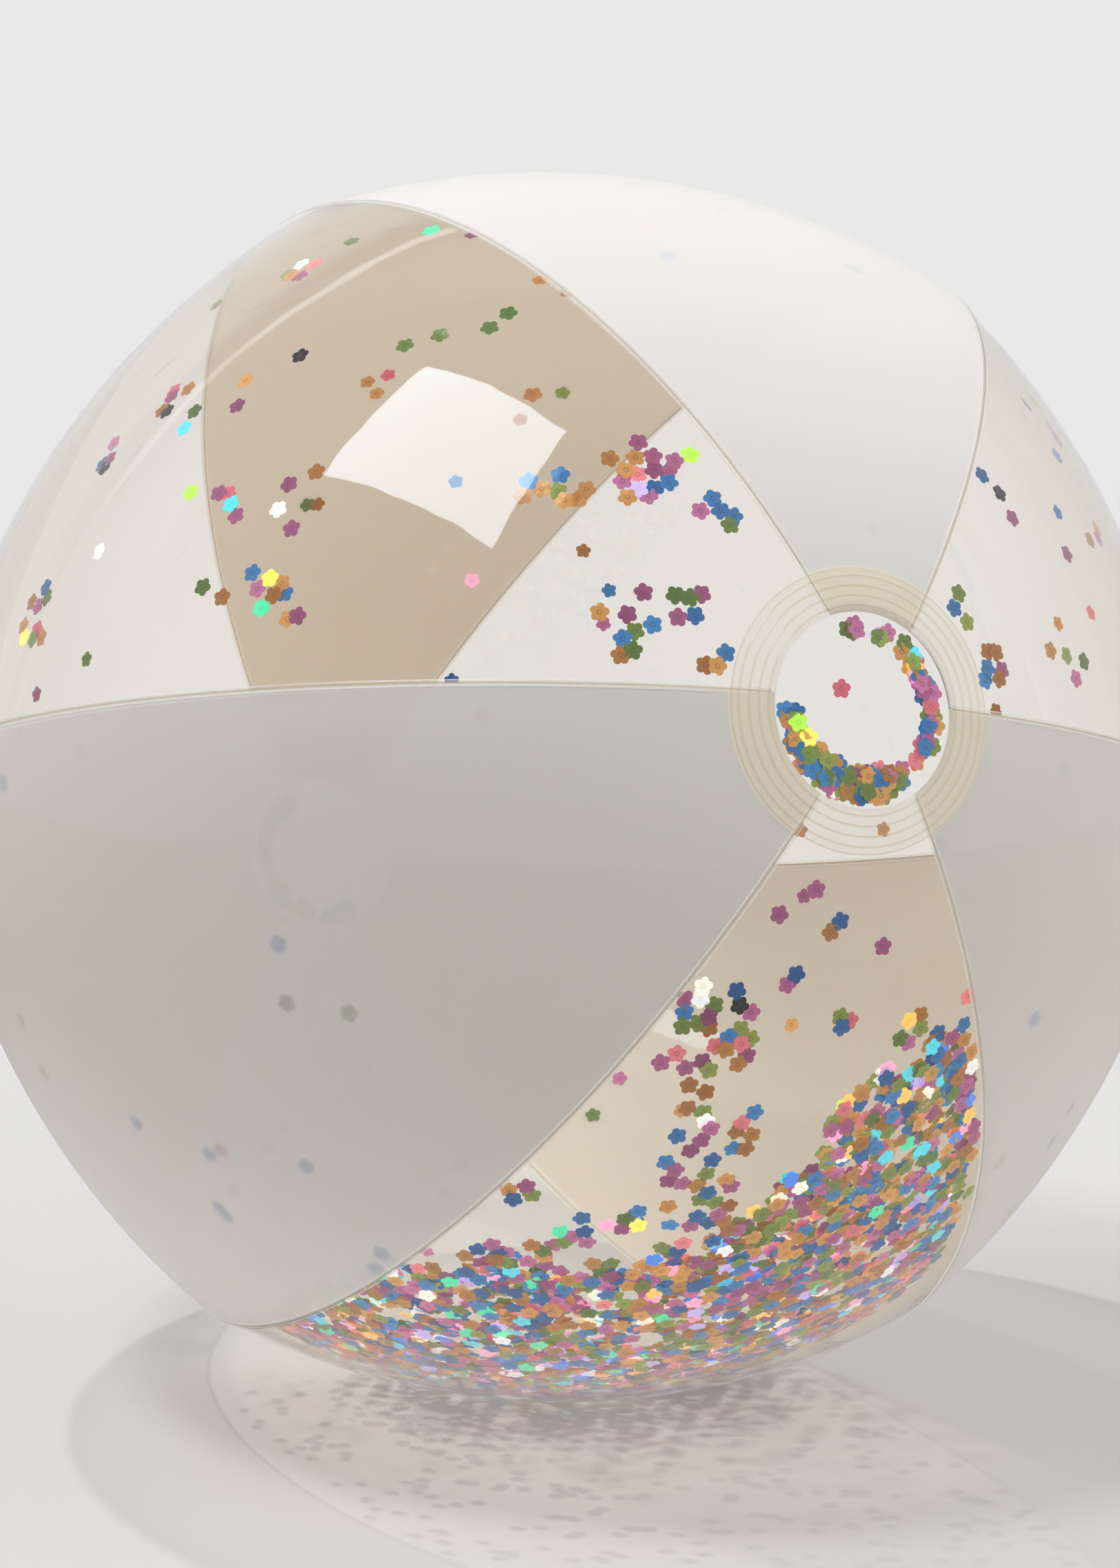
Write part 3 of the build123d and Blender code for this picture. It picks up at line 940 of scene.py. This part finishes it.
class Flowers:
    """Collects flowers of one colour and makes one mesh of them."""

    def __init__(self):
        self.points, self.faces, self.tone, self.bloom, self.chance = [], [], [], [], []

    def add(self, place, normal, tone=None, chance=None):
        """A flower at a place, its face turned along normal."""
        normal = np_unit(normal)
        side = np.cross(normal, np_unit([random.random() - 0.5 for _ in range(3)]))
        side = np_unit(side)
        other = np.cross(normal, side)
        curl = random.uniform(-0.03, 0.03) / MM
        bend = curl * (OUTLINE[:, 0] ** 2)
        rim = place + OUTLINE[:, :1] * side + OUTLINE[:, 1:] * other + bend[:, None] * normal
        under = normal * FOIL
        start = (2 * CORNERS + 2) * len(self.faces)
        self.points += [place[None, :], rim, (place - under)[None, :], rim - under]
        self.faces.append(flower_faces(start))
        tone = random.random() if tone is None else tone
        self.tone += [tone] * (2 * CORNERS + 2)
        chance = random.random() if chance is None else chance
        self.chance += [chance] * (2 * CORNERS + 2)
        self.bloom += ([0.0] + [1.0] * CORNERS) * 2

    def make(self, name, material):
        faces = [face for flower in self.faces for face in flower]
        return add_mesh(
            name,
            np.concatenate(self.points),
            faces,
            [material],
            smooth=False,
            values={"tone": self.tone, "bloom": self.bloom, "chance": self.chance},
        )


FOILS = {
    "mauve": (srgb(160, 78, 132), srgb(220, 138, 190)),
    "blue": (srgb(10, 96, 168), srgb(70, 162, 224)),
    "green": (srgb(92, 128, 54), srgb(170, 186, 92)),
    "ochre": (srgb(176, 112, 40), srgb(232, 184, 104)),
    "coral": (srgb(222, 106, 134), srgb(252, 170, 176)),
}
SHARES = {
    "mauve": 0.21,
    "blue": 0.21,
    "green": 0.19,
    "ochre": 0.27,
    "coral": 0.05,
    "iridescent": 0.06,
}
foils = {name: foil(f"foil_{name}", *pair) for name, pair in FOILS.items()}
foils["iridescent"] = iridescent_foil()


def pick_colour(sparkle=0.0):
    """A colour name; sparkle adds a share of iridescent ones."""
    if random.random() < sparkle:
        return "iridescent"
    return random.choices(tuple(SHARES), tuple(SHARES.values()))[0]


def tilted(normal, degrees):
    """The normal leaned over by a random angle of about that many degrees."""
    lean = math.tan(math.radians(abs(random.gauss(0, degrees))))
    side = np_unit(np.cross(normal, [random.random() - 0.5 for _ in range(3)]))
    return np_unit(normal + side * lean)


def film_spot(polar, azimuth, depth):
    """A place under the film, depth in from its outside, and the film's normal there. Degrees."""
    polar, azimuth = math.radians(polar), math.radians(azimuth)
    normal = film_normal(polar, azimuth)
    place = ball_point(np.array(polar), np.array(azimuth)) - normal * depth
    lowest = GROUND + FILM + 0.25 * MM
    if place[2] < lowest:
        place[2] = lowest
    return place, normal


def allowed(polar, azimuth):
    """Whether a clinging flower may sit there: clear of the seams, the softbox's image and the valve."""
    if not 11.0 < polar < 169.0:
        return False
    off_seam = 30 - abs((azimuth + 30) % 60 - 30)
    if off_seam * math.sin(math.radians(polar)) < 0.9:
        return False
    if 34 < polar < 50 and 48.5 < azimuth < 68:
        return False
    place, _ = film_spot(polar, azimuth, 0)
    return np.linalg.norm(place - VALVE_SPOT) > 22 * MM


clinging = {name: Flowers() for name in SHARES}
settled = []
APART = 2.7 * MM


def cling(polar, azimuth, colour=None, tone=None, lift=0.0):
    """A flower held to the inside of the film by static."""
    if not allowed(polar, azimuth):
        return False
    place, normal = film_spot(polar, azimuth, FILM + 0.15 * MM + lift)
    if any(np.linalg.norm(place - other) < APART for other in settled):
        return False
    settled.append(place)
    colour = colour or pick_colour()
    if tone is None and colour != "iridescent":
        tone = random.uniform(0.1, 0.75)
    milky = (azimuth + 30) % 120 < 60
    leaning = tilted(normal, 1.5 + lift / MM * 4)
    clinging[colour].add(place, leaning, tone, 1.0 if milky else None)
    return True


# Loose groups near the front: polar angle, azimuth, count, spread in millimetres.
GROUPS = (
    (26, 44, 17, 7),
    (21, 78, 8, 6),
    (17, 66, 5, 4),
    (19, 39, 5, 4),
    (30, 56, 5, 5),
    (33, 57, 3, 4),
    (52, 79, 8, 6),
    (58, 69, 3, 6),
    (48, 82, 2, 4),
    (60, 52, 1, 1),
    (79, 80, 9, 9),
    (70, 42, 5, 7),
    (77, 65, 3, 6),
    (73, 59, 4, 6),
    (14, 82, 3, 3),
    (24, 285, 4, 7),
    (13, 288, 6, 4),
    (12, 316, 3, 4),
    (34, 305, 4, 14),
    (46, 318, 4, 14),
    (48, 288, 3, 10),
    (29, 154, 7, 5),
    (26, 181, 3, 3),
    (30, 164, 9, 5),
    (34, 161, 8, 6),
    (28, 196, 6, 4),
    (38, 165, 7, 6),
    (38, 172, 6, 5),
    (43, 168, 9, 6),
    (46, 174, 10, 7),
    (53, 160, 8, 6),
    (51, 153, 4, 4),
    (59, 155, 5, 5),
    (49, 165, 6, 7),
)
# Lone flowers: polar angle, azimuth, colour, tone.
DARK = 1.3
for polar, azimuth, colour, tone in (
    (51, 47, "green", 0.3),
    (49, 44, "green", 0.35),
    (46, 40, "green", 0.2),
    (46, 37, "green", 0.1),
    (38, 45, "ochre", 0.2),
    (61, 32, "iridescent", 0.25),
    (60, 52, "ochre", DARK),
    (64, 56, "ochre", 0.9),
    (63, 59, "mauve", 0.0),
    (68, 60, "green", 0.0),
    (68, 62, "iridescent", 0.35),
    (72, 60, "blue", DARK),
    (77, 66, "mauve", DARK),
    (63, 69, "iridescent", 0.15),
    (58, 70, "iridescent", 0.35),
    (53, 70, "iridescent", 0.95),
    (53, 67, "mauve", 0.1),
    (51, 65, "ochre", 0.0),
    (51, 72, "mauve", 0.3),
    (72, 75, "iridescent", 0.95),
    (58, 79, "green", 0.0),
    (26, 322, "blue", DARK),
    (26, 327, "blue", 0.1),
    (44, 315, "mauve", 0.2),
    (25, 317, "mauve", 0.3),
    (26, 159, "blue", 0.0),
    (27, 161, "blue", DARK),
    (16, 166, "mauve", 0.4),
    (19, 159, "mauve", 0.3),
    (18, 176, "blue", 0.2),
    (19, 174, "ochre", 0.3),
    (20, 189, "mauve", 0.3),
    (23, 169, "blue", 0.1),
    (24, 168, "mauve", 0.5),
    (28, 154, "iridescent", 0.45),
    (27, 153, "iridescent", 0.95),
):
    cling(polar, azimuth, colour, tone)

# Behind the milky film on the near side.
for polar, azimuth in (
    (54, 116),
    (64, 137),
    (73, 132),
    (77, 137),
    (77, 138),
    (65, 148),
    (67, 149),
    (80, 127),
    (82, 95),
    (34, 222),
    (46, 14),
    (60, 236),
):
    cling(polar, azimuth, "blue", 0.7)

for polar, azimuth, count, spread in GROUPS:
    degrees = math.degrees(spread * MM / BALL_RADIUS)
    for number in range(count):
        for _ in range(12):
            at = polar + random.gauss(0, 0.6) * degrees
            round_by = random.gauss(0, 0.6) * degrees / math.sin(math.radians(at))
            if cling(at, azimuth + round_by, lift=number % 4 * 0.15 * MM):
                break

# Sparse ones all over the rest, beyond the front windows: azimuth range and polar reach of those.
WINDOWS = ((30, 90, 100), (150, 210, 70), (270, 330, 70))
for number in range(150):
    polar = math.degrees(math.acos(random.uniform(-0.96, 0.7)))
    azimuth = random.uniform(0, 360)
    if not any(low < azimuth < high and polar < reach for low, high, reach in WINDOWS):
        cling(polar, azimuth)

# Lodged behind the pole discs. Front: start and end round the pole, count.
HUB_ARCS = (
    (94, 130, 32),
    (130, 208, 66),
    (212, 236, 6),
    (238, 332, 36),
    (340, 352, 4),
    (2, 14, 4),
)
HUB_LOW, HUB_HIGH = 15.0 * MM, 21.6 * MM


def lodge(axis, turn, radius, depth, colour=None, tone=None):
    """A flower just behind a pole disc."""
    side = np_unit(TOP_MIDDLE - TOP_MIDDLE @ axis * axis)
    other = np.cross(axis, side)
    spoke = side * math.cos(turn) + other * math.sin(turn)
    place = spoke * radius + axis * (math.sqrt(BALL_RADIUS**2 - radius**2) - depth)
    tone = random.uniform(0.3, 1) if tone is None else tone
    clinging[colour or pick_colour()].add(place, tilted(np_unit(place), 7.0), tone)


for start, end, count in HUB_ARCS:
    for _ in range(count):
        turn = math.radians(random.uniform(start, end))
        thick = 1.0 if 94 < start < 200 else 0.55
        radius = HUB_HIGH - (HUB_HIGH - HUB_LOW) * thick * random.random()
        lodge(DISC_AXIS, turn, radius, random.uniform(0.7, 2.4) * MM)
lodge(DISC_AXIS, math.radians(55), 8.0 * MM, 0.6 * MM, "coral", 0.3)
lodge(DISC_AXIS, math.radians(104), 18.5 * MM, 0.5 * MM, "iridescent", 0.15)
lodge(DISC_AXIS, math.radians(118), 17.0 * MM, 0.6 * MM, "iridescent", 0.05)
for _ in range(46):
    turn = math.radians(random.uniform(150, 330))
    lodge(-POLE, turn, random.uniform(17.5, 21.5) * MM, random.uniform(0.7, 2.0) * MM)

for name, flowers in clinging.items():
    made = flowers.make(f"clinging_{name}", foils[name])
    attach(made, "ball")
    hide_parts(f"confetti_{name}")

# The heap.
HEAP_COUNT = 4700
heap = {name: Flowers() for name in SHARES}


def heap_edge(side):
    """Least polar angle of the heap, by azimuth from the bottom gore's middle. Degrees."""
    return np.interp(side, (-30, -20, -8, 0, 5, 12, 30), (68, 58, 51, 45, 37, 32, 27.5))


def heap_spot(polar, side, depth):
    """A place in the heap and its normal: no further out than the gores' flat middles, so it can roll."""
    polar, turn = math.radians(polar), math.radians(side)
    normal = film_normal(polar, math.pi)
    place = ball_point(np.array(polar), np.array(math.pi)) - normal * depth
    rolled = []
    for vector in (place, normal):
        along = POLE * (vector @ POLE)
        rolled.append(
            along + (vector - along) * math.cos(turn) + np.cross(POLE, vector) * math.sin(turn)
        )
    rolled[0][2] = max(rolled[0][2], GROUND + FILM + 0.4 * MM)
    return rolled


def heap_density(polar, side):
    """Chance that the heap covers a place."""
    ragged = 5.0 * noise.noise(Vector((polar * 0.16, side * 0.16, 3.0)))
    front = smoothstep(polar - heap_edge(side) + ragged, -2.5, 4.0)
    back = 1 - smoothstep(polar + 0.25 * side + ragged, 104, 114)
    sides = 1 - smoothstep(abs(side), 30.0, 30.8)
    hole = math.hypot((polar - 67) * 3.0, (side + 2) * 2.8) + ragged * 0.4
    holes = smoothstep(hole, 5.5, 7.0)
    return float(front * back * sides * holes)


made_so_far = 0
while made_so_far < HEAP_COUNT:
    polar = math.degrees(math.acos(random.uniform(math.cos(math.radians(118)), 1)))
    side = random.uniform(-31, 31)
    density = heap_density(polar, side)
    if random.random() > density:
        continue
    layer = random.random() ** 1.2
    depth = FILM + (0.8 + 2.4 * density * layer) * MM
    place, normal = heap_spot(polar, side, depth)
    sparkle = 0.03 + 0.14 * smoothstep(polar, 55, 80)
    colour = pick_colour(sparkle)
    heap[colour].add(place, tilted(normal, 4.0 + 9.0 * layer), random.uniform(0.2, 1))
    made_so_far += 1

for name, flowers in heap.items():
    made = flowers.make(f"loose_{name}", foils[name])
    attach(made, "confetti_heap")
    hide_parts("confetti_heap")

# ------------------------------------------------------------------ stage, light and camera


def unseen_by(made, *rays):
    for ray in rays:
        setattr(made, f"visible_{ray}", False)


FLOOR_SIZE = 14.0
floor_material, floor_tree = new_material("floor")
graph = Graph(floor_tree)
paint = graph.node("ShaderNodeBsdfDiffuse")
grain = graph.noise(3.0, 2.0, 0.5, object_position(graph))
graph.link(graph.colour(grain, (0.655, 0.65, 0.645, 1), (0.67, 0.665, 0.66, 1)), paint.inputs[0])
# The paper glows a little and evenly; on it are a painted pool of warm light in front of the ball, where light
# falls out of the clear gore, and a painted shadow to the right.
place = object_position(graph)
painted_light_pool = graph.vector("DISTANCE", place, (-0.062, -0.062, GROUND)).outputs["Value"]
painted_light_pool = graph.step(painted_light_pool, 0.15, 0.03)
painted_shadow = graph.vector("DISTANCE", place, (0.15, -0.05, GROUND)).outputs["Value"]
painted_shadow = graph.step(painted_shadow, 0.16, 0.04)
lift = graph.node("ShaderNodeEmission")
graph.link(
    graph.colour(painted_light_pool, (0.62, 0.62, 0.62, 1), (0.66, 0.61, 0.565, 1)), lift.inputs["Color"]
)
strength = graph.math("MULTIPLY_ADD", painted_light_pool, 0.25, 0.95)
graph.link(graph.math("MULTIPLY_ADD", painted_shadow, -0.36, strength), lift.inputs["Strength"])
paper = graph.mix(0.27, paint.outputs[0], lift.outputs[0])
# Far from the ball the floor runs out into the backdrop without an edge.
FLOOR_MIDDLE = (0.113, 0.223, GROUND)
# Away from the ball, all rays but the camera's see the floor dim and warm: painted shade in the light it throws
# back.
dim = graph.node("ShaderNodeBsdfDiffuse")
dim.inputs["Color"].default_value = (0.24, 0.17, 0.13, 1)
from_ball = graph.vector("LENGTH", object_position(graph)).outputs["Value"]
seen = graph.node("ShaderNodeLightPath").outputs["Is Camera Ray"]
bounce = graph.math("MAXIMUM", seen, graph.step(from_ball, 0.55, 0.26))
paper = graph.mix(bounce, dim.outputs[0], paper)
away = graph.vector("DISTANCE", object_position(graph), FLOOR_MIDDLE).outputs["Value"]
clear = graph.node("ShaderNodeBsdfTransparent")
graph.finish(graph.mix(graph.step(away, 0.48, 0.82), paper, clear.outputs[0]))
span = np.linspace(-FLOOR_SIZE / 2, FLOOR_SIZE / 2, 9)
floor_points = [(x, y, GROUND - 0.0002) for y in span for x in span]
floor = add_mesh("floor", floor_points, grid_faces(9, 9, flip=True), [floor_material])

def aim(made, direction, distance):
    """Puts a light in a direction from the ball, facing it."""
    made.location = Vector(direction) * distance
    made.rotation_euler = Vector(direction).to_track_quat("Z", "Y").to_euler()


def add_sun(name, direction, energy, spread):
    sun = bpy.data.lights.new(name, "SUN")
    sun.energy = energy
    sun.angle = math.radians(spread)
    made = bpy.data.objects.new(name, sun)
    bpy.context.collection.objects.link(made)
    aim(made, np_unit(direction), 2.0)
    made.visible_glossy = False


add_sun("key", (-0.381, -0.056, 0.923), 0.95, 11)
add_sun("back", (-0.08, 0.34, 0.94), 0.72, 1.6)
add_sun("room", (0.42, -0.76, 0.5), 0.48, 60)

# The window of the softbox that shows in the film.
card_material, card_tree = new_material("card")
graph = Graph(card_tree)
glow = graph.node("ShaderNodeEmission")
glow.inputs["Color"].default_value = (0.75, 0.87, 1.0, 1)
glow.inputs["Strength"].default_value = 8.6
graph.finish(glow.outputs[0])
card_points = [(-0.45, 0.23, 1.35), (-0.27, -0.40, 1.38), (-0.67, -0.635, 1.20), (-0.85, 0.19, 1.18)]
card = add_mesh("softbox_card", card_points, [(0, 1, 2, 3)], [card_material], smooth=False)
unseen_by(card, "camera", "diffuse", "transmission", "shadow", "volume_scatter")

world = bpy.data.worlds.new("studio")
bpy.context.scene.world = world
world.use_nodes = True
world.node_tree.nodes.clear()
graph = Graph(world.node_tree)
BACK = 0.815
direction = graph.node("ShaderNodeTexCoord").outputs["Generated"]
behind = graph.vector("DOT_PRODUCT", direction, tuple(-TOWARD)).outputs["Value"]
height = graph.node("ShaderNodeSeparateXYZ")
graph.link(direction, height.inputs[0])
# Mirrored in the film: the bright backdrop behind, its edge, and the dimmer room in front.
right = graph.vector("DOT_PRODUCT", direction, tuple(RIGHT)).outputs["Value"]
aside = graph.math("ABSOLUTE", graph.math("ADD", right, 0.2))
room = graph.step(aside, 0.15, 0.8, 0.38, 0.72)
backdrop = graph.step(behind, 0.52, 0.62)
backdrop = graph.math("MULTIPLY_ADD", backdrop, graph.math("SUBTRACT", BACK, room), room)
slit = graph.math("MULTIPLY", graph.step(behind, 0.435, 0.445), graph.step(behind, 0.475, 0.465))
slit = graph.math("MULTIPLY", slit, graph.step(height.outputs["Z"], 0.35, 0.75, 0.1))
slit = graph.math("MULTIPLY", slit, graph.step(right, 0.1, -0.1, 0.3, 1.3))
glossy = graph.math("ADD", slit, backdrop)
# Light on the ball: bright from above and behind, dim and warm from the room in front.
front = graph.step(behind, 0.1, -0.7)
low = graph.step(height.outputs["Z"], 0.85, 0.3)
dimmed = graph.math("MULTIPLY", front, low)
warm = graph.step(height.outputs["Z"], 0.4, -0.05)
fill = graph.colour(warm, (0.84, 0.84, 0.84, 1), (0.93, 0.86, 0.80, 1))
fill = graph.colour(dimmed, fill, (0.03, 0.025, 0.02, 1))
rays = graph.node("ShaderNodeLightPath")
light = graph.colour(rays.outputs["Is Glossy Ray"], fill, glossy)
light = graph.colour(rays.outputs["Is Camera Ray"], light, (BACK, BACK, BACK, 1))
sky = graph.node("ShaderNodeBackground")
graph.link(light, sky.inputs["Color"])
world_output = graph.node("ShaderNodeOutputWorld")
graph.link(sky.outputs[0], world_output.inputs["Surface"])

IMAGE_WIDTH, IMAGE_HEIGHT = 1624, 2274
CAMERA_DISTANCE = 1.203
camera_data = bpy.data.cameras.new("camera")
camera_data.lens = 98.6
camera_data.sensor_width = 36
camera_data.shift_x = -2 / IMAGE_HEIGHT
camera_data.shift_y = 6 / IMAGE_HEIGHT
camera_data.clip_end = 100
camera = bpy.data.objects.new("camera", camera_data)
bpy.context.collection.objects.link(camera)
camera.location = Vector(TOWARD) * CAMERA_DISTANCE
camera.rotation_euler = Vector(TOWARD).to_track_quat("Z", "Y").to_euler()
scene = bpy.context.scene
scene.camera = camera
scene.view_settings.view_transform = "Standard"
scene.cycles.max_bounces = 14
scene.cycles.diffuse_bounces = 6
scene.cycles.transparent_max_bounces = 40
